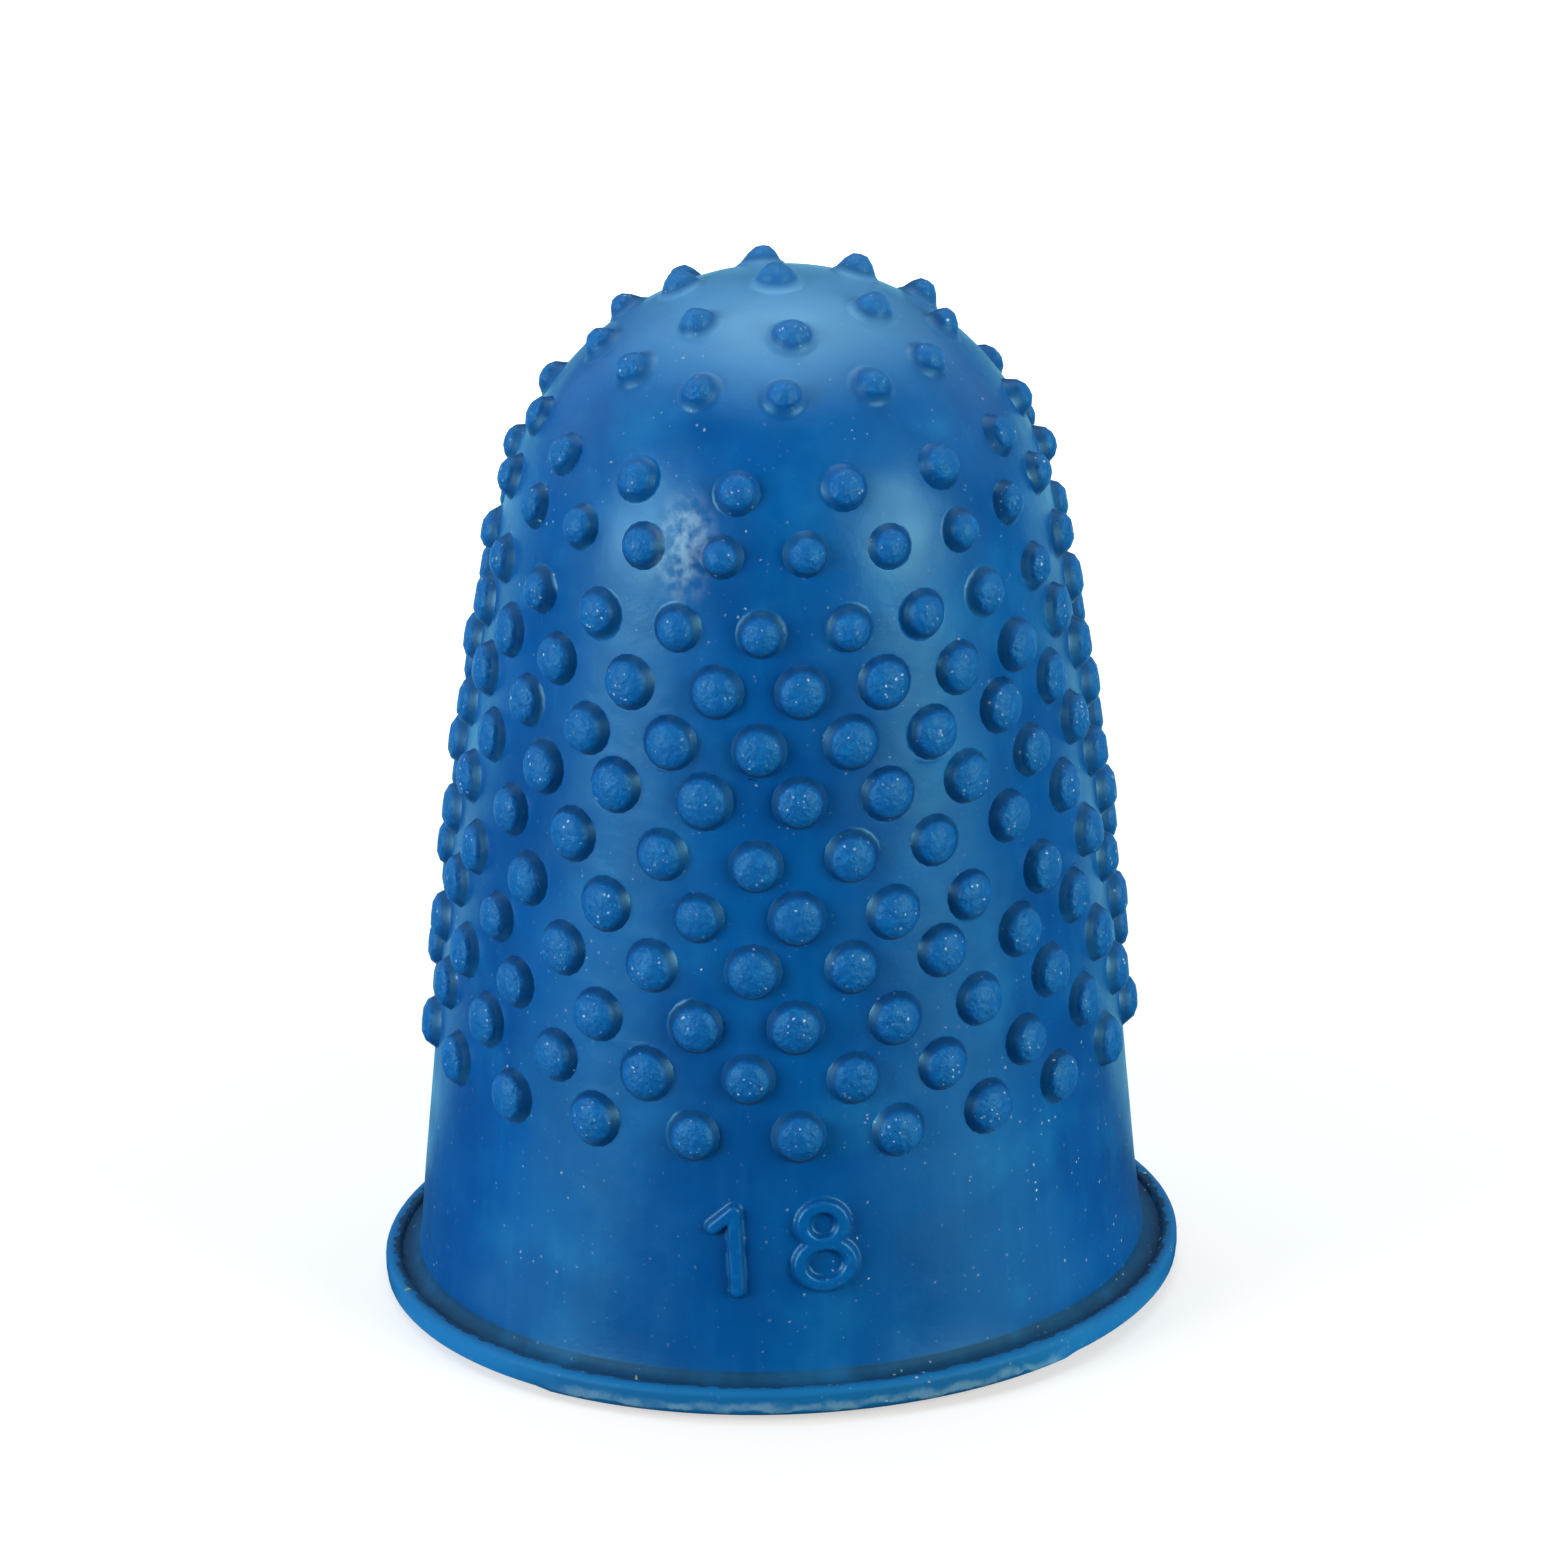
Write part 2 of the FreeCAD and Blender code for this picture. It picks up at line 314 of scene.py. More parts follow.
turned = points_of(tip)
line = np.array(section)
off_line = np.hypot(np.hypot(turned[:, 0], turned[:, 1])[:, None] - line[None, :, 0],
                    turned[:, 2][:, None] - line[None, :, 1])
rows = off_line.argmin(1)
turn_of = np.degrees(np.arctan2(turned[:, 0], -turned[:, 1]))
columns = np.round(turn_of * COLUMNS / 360).astype(int) % COLUMNS
note("row", "INT", rows)
note("column", "INT", columns)
print("rows:", rows.max() + 1, "columns:", columns.max() + 1)

# %% [markdown]
# Each nub takes a patch of the grid, four or more columns wide and four rows high. Dissolving the patch
# leaves one many-sided face in its place. No other face of the wall has more than 12 corners.

# %% Clear a patch for each nub
PATCH_COLUMNS = {20: 4, 15: 4, 12: 6, 6: 10}
FEW_CORNERS = 12


def patch_columns(ring, number):
    """The first and last column of one nub's patch."""
    pitch = COLUMNS // ring["count"]
    middle = round(ring["turn"] * COLUMNS / 360) + number * pitch
    half = PATCH_COLUMNS[ring["count"]] // 2
    return middle - half, middle + half


patches = set()
for ring in rings:
    for number in range(ring["count"]):
        first, last = patch_columns(ring, number)
        for row in range(*ring["rows"]):
            patches.update((row, column % COLUMNS) for column in range(first, last))


def in_patch(face):
    """True for a face inside a nub's patch, or round the pole."""
    row = min(rows[index] for index in face.vertices)
    if row == pole_row:
        return True
    turn = math.degrees(math.atan2(face.center.x, -face.center.y))
    return (row, math.floor(turn * COLUMNS / 360) % COLUMNS) in patches


select_faces(tip, in_patch)
bpy.ops.mesh.dissolve_faces()
bpy.ops.object.mode_set(mode="OBJECT")
many_sided = [face for face in tip.data.polygons if len(face.vertices) > FEW_CORNERS]
print(len(many_sided), "patches for nubs")

# %% [markdown]
# The pitch of the nubs isn't quite even round the front. Those on the side stand a few degrees further left
# than an even pitch would put them, from the middle of the front round to the right and the back. In the
# lowest ring of the crown they spread away from the front.

# %% How uneven the pitch is
DRIFT = 3.6
DRIFT_GROWS = (-5, 62)
DRIFT_FADES = (100, 220)
LEFTMOST = 100
SPREAD = 5.5
SPREAD_MIDDLE = 5
EVEN_SIZE = 0.9


def smooth(value, low, high):
    """A smooth step from 0 to 1 as a value goes from low to high."""
    share = min(max((value - low) / (high - low), 0), 1)
    return share * share * (3 - 2 * share)


def uneven(ring, turn):
    """The turn at which a nub really stands, in degrees from the front."""
    if ring["count"] == CROWN_EDGE_COUNT:
        return turn + SPREAD * math.sin(math.radians(turn - SPREAD_MIDDLE))
    if ring["count"] < CROWN_EDGE_COUNT or ring["size"] < EVEN_SIZE:
        return turn
    from_front = (turn + LEFTMOST) % 360 - LEFTMOST
    return turn - DRIFT * smooth(from_front, *DRIFT_GROWS) * (1 - smooth(from_front, *DRIFT_FADES))


print("turns on the lowest ring:",
      [round(uneven(rings[0], rings[0]["turn"] + 360 * number / SIDE_COUNT)) for number in range(SIDE_COUNT)])

# %% [markdown]
# The corners of each patch are set on a circle round the middle of its nub. Each middle is off by a few
# hundredths of a millimetre more, as in a mould whose cavities were drilled by hand, and each nub is a shade
# wider or narrower than the next. The seed makes it the same mould every time.

# %% Set the feet of the nubs
PLACE_ERROR = 0.05
WIDTH_ERROR = 0.025
random.seed(7)

row_of = np.empty(len(tip.data.vertices), dtype=np.int32)
column_of = np.empty(len(tip.data.vertices), dtype=np.int32)
tip.data.attributes["row"].data.foreach_get("value", row_of)
tip.data.attributes["column"].data.foreach_get("value", column_of)
point_at = {(row, column): index for index, (row, column) in enumerate(zip(row_of, column_of))}
places = points_of(tip)
on_foot = np.zeros(len(places), dtype=bool)
nub_middles = []


def patch_outline(ring, number):
    """The points round one patch, from its lower left corner, turning to the right."""
    low, high = ring["rows"]
    left, right = patch_columns(ring, number)
    spots = [(low, column) for column in range(left, right)]
    spots += [(row, right) for row in range(low, high)]
    spots += [(high, column) for column in range(right, left, -1)]
    spots += [(row, left) for row in range(high, low, -1)]
    return [point_at[row, column % COLUMNS] for row, column in spots]


for ring in rings:
    radius, height = ring["place"]
    for number in range(ring["count"]):
        turn = math.radians(uneven(ring, ring["turn"] + 360 * number / ring["count"]))
        middle = np.array([[radius * math.sin(turn), -radius * math.cos(turn), height]])
        across = np.array([math.cos(turn), math.sin(turn), 0.0])
        middle, outward = onto_wall(middle)
        upward = np.cross(outward[0], across)
        upward *= math.copysign(1, upward[2])
        middle = middle + random.gauss(0, PLACE_ERROR) * across + random.gauss(0, PLACE_ERROR) * upward
        middle, outward = onto_wall(middle)
        nub_middles.append((middle[0], outward[0]))
        foot = NUB_FOOT * ring["size"] * random.gauss(1, WIDTH_ERROR)
        outline = patch_outline(ring, number)
        sides = len(outline)
        corner = -math.pi * PATCH_ROWS / sides - math.pi * (sides - 2 * PATCH_ROWS) / sides
        for step, index in enumerate(outline):
            angle = corner + 2 * math.pi * step / sides
            places[index] = middle[0] + foot * (math.cos(angle) * across + math.sin(angle) * upward)
            on_foot[index] = True
nub_middles.append((np.array([0, 0, CROWN_CENTRE + CROWN_RADIUS]), np.array([0, 0, 1.0])))
places[on_foot], _ = onto_wall(places[on_foot])
put_points(tip, places)
print(on_foot.sum(), "points on the feet of the nubs")

# %% [markdown]
# The grid between the nubs is now stretched. Smoothing it while the feet stay put spreads its points
# evenly, and after each few passes they are pressed back onto the wall. It starts a few rows below the
# lowest ring, so the plain skirt stays as it was turned.

# %% Relax the wall between the nubs
SMOOTH_ROUNDS = 10
SMOOTH_PASSES = 8
SMOOTH_SHARE = 0.5
ROWS_BELOW = 4

first_free_row = rings[0]["rows"][0] - ROWS_BELOW
free = (row_of >= first_free_row) & (row_of < pole_row) & ~on_foot
for _ in range(SMOOTH_ROUNDS):
    edit(tip)
    bpy.ops.object.mode_set(mode="OBJECT")
    tip.data.vertices.foreach_set("select", free)
    bpy.ops.object.mode_set(mode="EDIT")
    bpy.ops.mesh.select_mode(type="VERT")
    bpy.ops.mesh.vertices_smooth(factor=SMOOTH_SHARE, repeat=SMOOTH_PASSES)
    bpy.ops.object.mode_set(mode="OBJECT")
    places = points_of(tip)
    places[free], _ = onto_wall(places[free])
    put_points(tip, places)
print(free.sum(), "points relaxed")

# %% [markdown]
# A nub is raised from its foot by insets, each a little narrower and higher than the last: a narrow flat
# collar, a steep side, a round shoulder and a nearly flat tip. There are hundreds of nubs, so each has only
# a few dozen faces, and smooth shading rounds them. A ring of nubs is raised at once. Those near the top are
# smaller, and those on the crown are slim and blunt-pointed. A step of the shape is its radius and height.

# %% Raise the nubs
SIDE_NUB = ((0.79, 0.0), (0.71, 0.12), (0.585, 0.33), (0.35, 0.445))
SHOULDER_NUB = ((0.78, 0.0), (0.67, 0.12), (0.52, 0.33), (0.29, 0.455))
CROWN_NUB = ((0.77, 0.0), (0.60, 0.12), (0.42, 0.37), (0.23, 0.53))
TIP_RISE = 0.035
RING_REACH = 0.3


def raise_nubs(steps, size, wanted):
    """Inset and lift the many-sided faces that are wanted, and close each tip with a point."""
    select_faces(tip, lambda face: len(face.vertices) > FEW_CORNERS and wanted(face.center.z))
    radius, height = NUB_FOOT, 0
    for next_radius, next_height in steps:
        bpy.ops.mesh.inset(thickness=size * (radius - next_radius), depth=next_height - height,
                           use_individual=True)
        radius, height = next_radius, next_height
    bpy.ops.mesh.poke(offset=TIP_RISE)
    bpy.ops.object.mode_set(mode="OBJECT")


for ring in rings:
    steps = SIDE_NUB if ring["size"] == 1 else SHOULDER_NUB
    if ring["count"] < CROWN_EDGE_COUNT:
        steps = CROWN_NUB
    raise_nubs(steps, ring["size"], lambda height: abs(height - ring["place"][1]) < RING_REACH)
raise_nubs(CROWN_NUB, 1, lambda height: height > CROWN_CENTRE + CROWN_RADIUS - RING_REACH)
print("with its nubs:", len(tip.data.vertices), "points,", len(tip.data.polygons), "faces")

# %% [markdown]
# Low on the front such a finger tip has its size moulded in. Here that is a plain raised number, the width of
# the mouth in millimetres. Only there is the wall divided finely enough to carry it: its points are pressed
# onto the true wall and then lifted where they lie near a stroke.

# %% Raised number
MARK_HEIGHT = 4.65
MARK_REACH = (2.9, 1.75)
OUTER_SIDE = 9
MARK_CUTS = 8
MARK_TILT = math.radians(3)
MARK_RELIEF = 0.21
STROKE_CORE = 0.12
STROKE_EDGE = 0.26
FAR_OFF = 9.0


def loop(centre, width, height, sides=28):
    """A closed oval stroke."""
    angles = [2 * math.pi * side / sides for side in range(sides + 1)]
    return [(centre[0] + width * math.cos(a), centre[1] + height * math.sin(a)) for a in angles]


strokes = [[(-1.85, 0.72), (-1.27, 1.2), (-1.27, -1.2)],
           loop((1.15, 0.62), 0.56, 0.56), loop((1.15, -0.57), 0.70, 0.63)]

select_faces(tip, lambda face: face.center.y < 0 and abs(face.center.x) < MARK_REACH[0]
             and abs(face.center.z - MARK_HEIGHT) < MARK_REACH[1]
             and math.hypot(*face.center.xy) > OUTER_SIDE)
bpy.ops.mesh.subdivide(number_cuts=MARK_CUTS)
bpy.ops.object.mode_set(mode="OBJECT")
in_mark = np.zeros(len(tip.data.vertices), dtype=bool)
tip.data.vertices.foreach_get("select", in_mark)

places = points_of(tip)
marked = np.flatnonzero(in_mark)
pressed, outward = onto_wall(places[marked])
across = np.arctan2(pressed[:, 0], -pressed[:, 1]) * wall_radius(MARK_HEIGHT)
up = pressed[:, 2] - MARK_HEIGHT
flat = np.stack([across * math.cos(MARK_TILT) + up * math.sin(MARK_TILT),
                 up * math.cos(MARK_TILT) - across * math.sin(MARK_TILT)], 1)
nearest = np.full(len(flat), FAR_OFF)
for stroke in strokes:
    for first, second in zip(stroke, stroke[1:]):
        first, along = np.array(first), np.array(second) - np.array(first)
        share = np.clip((flat - first) @ along / (along @ along), 0, 1)
        nearest = np.minimum(nearest, np.linalg.norm(flat - first - share[:, None] * along, axis=1))
ramp = np.clip((STROKE_EDGE - nearest) / (STROKE_EDGE - STROKE_CORE), 0, 1)
ramp = ramp * ramp * (3 - 2 * ramp)
places[marked] = pressed + MARK_RELIEF * ramp[:, None] * outward
put_points(tip, places)
mark = np.zeros(len(places))
mark[marked] = ramp
note("mark", "FLOAT", mark)
print("the number has", len(marked), "points")

# %% [markdown]
# Where the two halves of the mould met, a thin lip of flash was left under the front of the rim. It stops
# short on the right, and from there on round the back the lower edge of the rim is eased.

# %% Flash under the rim
FLASH_START = -38
FLASH_END = 46
FLASH_TOP = 0.2
FLASH_WIDTH = 0.3
FLASH_STEP = 0.13

places = points_of(tip)
around = np.hypot(places[:, 0], places[:, 1])
turned_to = np.degrees(np.arctan2(places[:, 0], -places[:, 1]))
edge = (places[:, 2] < FLASH_TOP) & (around > RIM_RADIUS - FLASH_WIDTH)
eased = edge & ((turned_to < FLASH_START) | (turned_to > FLASH_END))
shrink = 1 - FLASH_STEP * (1 - places[:, 2] / FLASH_TOP) / np.maximum(around, 1)
places[eased, 0] *= shrink[eased]
places[eased, 1] *= shrink[eased]
put_points(tip, places)
print(eased.sum(), "points of the rim's lower edge eased")

# %% [markdown]
# Real nubs lean and differ a little in height. Each point that stands above the wall is moved with its nub,
# in proportion to its own rise. That rise is also kept as an attribute, so that the finish can be darker at
# the foot of a nub, as painted shade, and cleaner and paler at its tip, partly as painted light, and two more
# attributes mark the rim's bead and its trough.

# %% Make the nubs uneven and note their rise
LEAN = 0.08
HEIGHT_ERROR = 0.05
NUB_HEIGHT = 0.48
LEAST_RISE = 0.004
FIELD_FOOT = 6.6
RIM_ZONE = 1.2
TROUGH_TOP = 0.95
EDGE_MARGIN = 0.01

finder = KDTree(len(nub_middles))
for index, (middle, _) in enumerate(nub_middles):
    finder.insert(Vector(middle), index)
finder.balance()
leans = [np.array([random.gauss(0, LEAN) for _ in range(3)]) for _ in nub_middles]
growths = [random.gauss(0, HEIGHT_ERROR) for _ in nub_middles]

places = points_of(tip)
pressed, outward = onto_wall(places)
rise = np.einsum("ij,ij->i", places - pressed, outward)
rise[(rise < LEAST_RISE) | (places[:, 2] < FIELD_FOOT)] = 0
for index in np.flatnonzero(rise):
    _, nub, _ = finder.find(Vector(pressed[index]))
    lean = leans[nub] - leans[nub].dot(outward[index]) * outward[index]
    places[index] += rise[index] * (lean + growths[nub] * outward[index])
put_points(tip, places)
around = np.hypot(places[:, 0], places[:, 1])
low = places[:, 2] < RIM_ZONE
on_bead = low & (around > bead_edge - EDGE_MARGIN)
off_wall = (around > wall_radius(RIM_ZONE)) & (around < bead_edge + EDGE_MARGIN)
in_trough = low & off_wall & (places[:, 2] < TROUGH_TOP) & ~on_bead
note("rise", "FLOAT", rise / NUB_HEIGHT)
note("rim", "FLOAT", on_bead)
note("trough", "FLOAT", in_trough)
print("highest nub point above the wall, mm:", round(float(rise.max()), 3))

# %% [markdown]
# The whole moulding leans a little to one side, and its rim isn't quite flat: it stands on the back and
# left, and its front and right are lifted by about a quarter of a millimetre. The lift fades out up the
# skirt. Each point keeps its own level as an attribute for the finish of the rim. Then the mesh is brought
# down to metres. Its object stays at the origin, with its place in its mesh.

# %% Lean, lift and scale
MOULD_LEAN = 0.0165
LEAN_FOOT = 3
LIFT = 0.15
LIFT_TO_RIGHT = 0.012
LIFT_TO_FRONT = 0.009
LIFT_FOOT = 1
LIFT_TOP = 6
SHARP_EDGE = math.radians(50)

places = points_of(tip)
note("level", "FLOAT", places[:, 2])
above_foot = np.maximum(places[:, 2] - LEAN_FOOT, 0)
lift = LIFT + LIFT_TO_RIGHT * places[:, 0] - LIFT_TO_FRONT * places[:, 1]
share = np.clip(1 - (places[:, 2] - LIFT_FOOT) / (LIFT_TOP - LIFT_FOOT), 0, 1)
places[:, 2] += np.maximum(lift, 0) * share
places[:, 0] += MOULD_LEAN * above_foot
put_points(tip, places * MM)
bpy.ops.object.select_all(action="DESELECT")
bpy.context.view_layer.objects.active = tip
tip.select_set(True)
bpy.ops.object.shade_smooth_by_angle(angle=SHARP_EDGE)
triangles = sum(len(face.vertices) - 2 for face in tip.data.polygons)
print("finger tip:", triangles, "triangles")

# %% [markdown]
# The rubber is natural rubber coloured right through, as moulded: a deep blue with a satin skin. The nubs
# are duller than the wall, which took the polish of the mould, and their tips are painted paler, partly as
# painted light. With age a thin chalky bloom comes to the surface, and fine white dust clings to it. Painted
# shade, painted highlights and painted glints are laid in as well. All of this is built up in coats of
# colour, each with its own mask. A mask is made from ramps: a value, the levels between which it rises, and
# how far.

# %% Rubber: the node helper and its coordinates
rubber = bpy.data.materials.new("moulded_natural_rubber")
rubber.use_nodes = True
tree = rubber.node_tree
surface = tree.nodes["Principled BSDF"]


def add(kind, inputs=(), **settings):
    """Add a node to the tree in hand, set its properties, and give its inputs their values or links."""
    node = tree.nodes.new(kind)
    for name, value in settings.items():
        setattr(node, name, value)
    for name, value in dict(inputs).items():
        if isinstance(value, bpy.types.NodeSocket):
            tree.links.new(value, node.inputs[name])
        else:
            node.inputs[name].default_value = value
    return node


def per(millimetres):
    """The texture scale that gives a pattern this size on an object in metres."""
    return 1 / (millimetres * MM)


def where(*parts):
    """A mask that is bright where all its parts are: each is a mask, a share, or a ramp of 3 or 5 numbers."""
    mask = None
    for part in parts:
        if isinstance(part, tuple):
            value, low, high, dark, bright = (part + (0.0, 1.0))[:5]
            ramp = add("ShaderNodeMapRange", {"Value": value, "From Min": low, "From Max": high,
                                              "To Min": dark, "To Max": bright},
                       interpolation_type="SMOOTHSTEP")
            part = ramp.outputs["Result"]
        if mask is not None:
            part = add("ShaderNodeMath", {0: mask, 1: part}, operation="MULTIPLY").outputs[0]
        mask = part
    return mask


coordinates = add("ShaderNodeTexCoord").outputs["Object"]
rise_here, rim_here, trough_here, mark_here, level_here = [
    add("ShaderNodeAttribute", attribute_name=name).outputs["Fac"]
    for name in ("rise", "rim", "trough", "mark", "level")]
place_here = add("ShaderNodeSeparateXYZ", {"Vector": coordinates})
height_here = place_here.outputs["Z"]


def mottling(size, detail, low, high, dark=0.0, bright=1.0, vector=coordinates):
    """Cloudy patches of a size in millimetres: a soft noise that is eased between two of its levels."""
    noise = add("ShaderNodeTexNoise", {"Vector": vector, "Scale": per(size), "Detail": detail})
    return where((noise.outputs["Fac"], low, high, dark, bright))


print("the rubber's tree starts with", len(tree.nodes), "nodes")

# %% [markdown]
# The colour goes from the deep blue of clean rubber, through a slow mottling, to the paler tips of the nubs
# and of the raised number, paler partly as painted light, and their steep sides are darker as painted shade.
# On the crown the sides of the nubs are hardly darker than the wall. The bead of the rim is bright, and its
# trough is dull and dark, the dark being painted shade in the hollow. The sizes are in millimetres.

# %% Rubber: colour of the clean parts, painted shade on the nub sides and in the trough, painted light on the tips
DEEP_BLUE = linear("#004A90")
BODY_BLUE = linear("#00549C")
PALE_AND_LIT_TOP_BLUE = linear("#0058A0")
SCUFF_BLUE = linear("#0A7AC4")
SIDE_SHADE_BLUE = linear("#003A70")
# The trough's dark colour is painted shade in the hollow between the bead and the wall.
TROUGH_SHADE_BLUE = linear("#04345C")
BEAD_BLUE = linear("#0463A2")
MOTTLE_SIZE = 3.5
SCUFF_SIZE = 0.25

# The darker sides of the nubs and of the number are painted shade, and their paler tops are partly painted
# light.
nub_side_shade = where((rise_here, 0.01, 0.07), (rise_here, 0.3, 0.65, 1, 0),
                  (height_here, 24.5 * MM, 26.5 * MM, 0.9, 0.3))
nub_tips = where((rise_here, 0.35, 0.7))
mark_side_shade = where((mark_here, 0.02, 0.3), (mark_here, 0.6, 0.95, 1, 0), 0.4)
raised = add("ShaderNodeMath", {0: nub_tips, 1: mark_here}, operation="MAXIMUM").outputs[0]
scuffs = where(raised, mottling(SCUFF_SIZE, 4, 0.5, 0.72, 0, 0.35))
body = DEEP_BLUE
for colour, mask in ((BODY_BLUE, mottling(MOTTLE_SIZE, 3, 0.35, 0.65)), (SIDE_SHADE_BLUE, nub_side_shade),
                     (PALE_AND_LIT_TOP_BLUE, nub_tips), (SIDE_SHADE_BLUE, mark_side_shade),
                     (PALE_AND_LIT_TOP_BLUE, where((mark_here, 0.6, 1.0))), (SCUFF_BLUE, scuffs),
                     (BEAD_BLUE, rim_here), (TROUGH_SHADE_BLUE, where(trough_here, 0.92))):
    body = add("ShaderNodeMix", {"Factor": mask, 6: body, 7: colour}, data_type="RGBA").outputs[2]
print(len(tree.nodes), "nodes with the colour of the clean parts")

# %% [markdown]
# Along the edge between the bead and the trough the rubber was torn a little, and the step of the bead casts
# a thin shadow there: a ragged dark line, a painted shadow along the torn edge. A slow noise makes the line
# wander. The lip of flash at the front of the rim's foot is pale and chipped. The line's radii and the lip's
# levels are in millimetres.

# %% Rubber: torn line with its painted shadow, and flash
TORN_EDGE_SHADOW_BLUE = linear("#002547")
FLASH_BLUE = linear("#6FA3C4")
TORN_INNER = (10.50, 10.53)
TORN_OUTER = (10.70, 10.74)
TEAR_SIZE = 0.35
TEAR_WANDER = 0.08
CHIP_SIZE = 0.9
CHIP_DEPTH = 0.1
FADE_SIZE = 0.6

flat_place = add("ShaderNodeCombineXYZ", {"X": place_here.outputs["X"], "Y": place_here.outputs["Y"]})
radius_here = add("ShaderNodeVectorMath", {0: flat_place.outputs[0]}, operation="LENGTH").outputs["Value"]
wander = mottling(TEAR_SIZE, 4, 0.3, 0.7, -TEAR_WANDER * MM, TEAR_WANDER * MM)
wavy_radius = add("ShaderNodeMath", {0: radius_here, 1: wander}, operation="ADD").outputs[0]
torn = where((wavy_radius, TORN_INNER[0] * MM, TORN_INNER[1] * MM),
             (wavy_radius, TORN_OUTER[0] * MM, TORN_OUTER[1] * MM, 1, 0), (level_here, 0.9, 1.1, 1, 0))

forwards = add("ShaderNodeMath", {0: place_here.outputs["Y"], 1: -1.0}, operation="MULTIPLY").outputs[0]
turn_here = add("ShaderNodeMath", {0: place_here.outputs["X"], 1: forwards},
                operation="ARCTAN2").outputs[0]
chips = mottling(CHIP_SIZE, 4, 0.3, 0.7, -CHIP_DEPTH, CHIP_DEPTH)
wavy_level = add("ShaderNodeMath", {0: level_here, 1: chips}, operation="ADD").outputs[0]
flash = where((wavy_level, 0.08, 0.14), (wavy_level, 0.22, 0.42, 1, 0),
              (turn_here, math.radians(FLASH_START), math.radians(FLASH_START + 8)),
              (turn_here, math.radians(FLASH_END - 3), math.radians(FLASH_END), 1, 0),
              mottling(FADE_SIZE, 3, 0.35, 0.6, 0.2, 0.7))
# The torn line's dark colour is a painted shadow under the step of the bead.
for colour, mask in ((TORN_EDGE_SHADOW_BLUE, where(torn, 0.9)), (FLASH_BLUE, flash)):
    body = add("ShaderNodeMix", {"Factor": mask, 6: body, 7: colour}, data_type="RGBA").outputs[2]
print(len(tree.nodes), "nodes with the torn line and the flash")

# %% [markdown]
# Over that lies a thin chalky bloom that age brought, in faint patches and upright streaks on the wall. The
# pale coat on the top of the crown is partly bloom and partly a painted highlight, and the white patch on its
# left shoulder is partly rubbed wear and partly a painted highlight. All of it shows least on the tips of the
# nubs.

# %% Rubber: bloom, and painted highlights on the crown
CROWN_BLOOM_AND_HIGHLIGHT = linear("#5F9FCE")
THIN_BLOOM = linear("#1C78B4")
WORN_AND_HIGHLIGHT = linear("#9FC0DA")
STREAK_SIZE = 0.4
STREAK_LENGTH = 0.08
BLOOM_SIZE = 2.6
RUB_SIZE = 0.4


def spot(place, size, softness=0.5):
    """A soft oval spot round a place in millimetres, with its half sizes along the axes."""
    centred = add("ShaderNodeVectorMath", {0: coordinates, 1: tuple(MM * x for x in place)},
                  operation="SUBTRACT").outputs[0]
    scaled = add("ShaderNodeVectorMath", {0: centred, 1: tuple(MM * x for x in size)},
                 operation="DIVIDE").outputs[0]
    distance = add("ShaderNodeVectorMath", {0: scaled}, operation="LENGTH").outputs["Value"]
    return where((distance, 1 - softness, 1, 1, 0))


stretched = add("ShaderNodeMapping", {"Vector": coordinates, "Scale": (1, 1, STREAK_LENGTH)})
streaks = where(mottling(STREAK_SIZE, 2, 0.45, 0.8, vector=stretched.outputs["Vector"]), 0.1)
faint_patches = where(mottling(BLOOM_SIZE, 5, 0.5, 0.74), 0.35)
thin_bloom = add("ShaderNodeMath", {0: faint_patches, 1: streaks}, operation="ADD", use_clamp=True).outputs[0]
beside_nubs = where((rise_here, 0.0, 0.4, 1, 0.15))
# The pale coat on the top of the crown is partly bloom and partly a painted highlight.
crown_bloom_and_highlight = where((height_here, 27 * MM, 29.5 * MM), 0.75, beside_nubs)
# The white patch on the left shoulder is partly rubbed wear and partly a painted highlight.
worn_and_highlight_patch = where(spot((-2.3, -6.7, 24.3), (1.2, 1.2, 2.2), softness=0.8),
                   mottling(RUB_SIZE, 5, 0.38, 0.66), 0.55, beside_nubs)
for colour, mask in ((THIN_BLOOM, where(thin_bloom, beside_nubs)), (CROWN_BLOOM_AND_HIGHLIGHT, crown_bloom_and_highlight),
                     (WORN_AND_HIGHLIGHT, worn_and_highlight_patch)):
    body = add("ShaderNodeMix", {"Factor": mask, 6: body, 7: colour}, data_type="RGBA").outputs[2]
print(len(tree.nodes), "nodes with the bloom")

# %% [markdown]
# Dust is rough specks of many sizes: each cell of a grid holds one, and only a share of them is used. A fine
# noise shakes the grid's coordinates, which makes the specks rough. Fine dust gathers in clusters, most of
# all low on the right, and flecks cling to the torn line. The same white specks on the tips of the nubs are
# painted glints. A hair and a yellow-green crumb lie on the rim.

# %% Rubber: dust, small dirt and painted glints
DUST_AND_GLINT_WHITE = linear("#C9DDEA")
CRUMB = linear("#9DB84A")
HAIR = linear("#B9B7A4")
SHAKE_SIZE = 0.07
DUSTY_SIZE = 4.0
CLUSTER_SIZE = 0.8
GLINT_SIZE = 0.9

jitter = add("ShaderNodeTexNoise", {"Vector": coordinates, "Scale": per(SHAKE_SIZE), "Detail": 1.0})
jitter = add("ShaderNodeVectorMath", {0: jitter.outputs["Color"], 1: (SHAKE_SIZE * MM,) * 3},
             operation="MULTIPLY").outputs[0]
shaken = add("ShaderNodeVectorMath", {0: coordinates, 1: jitter}, operation="ADD").outputs[0]


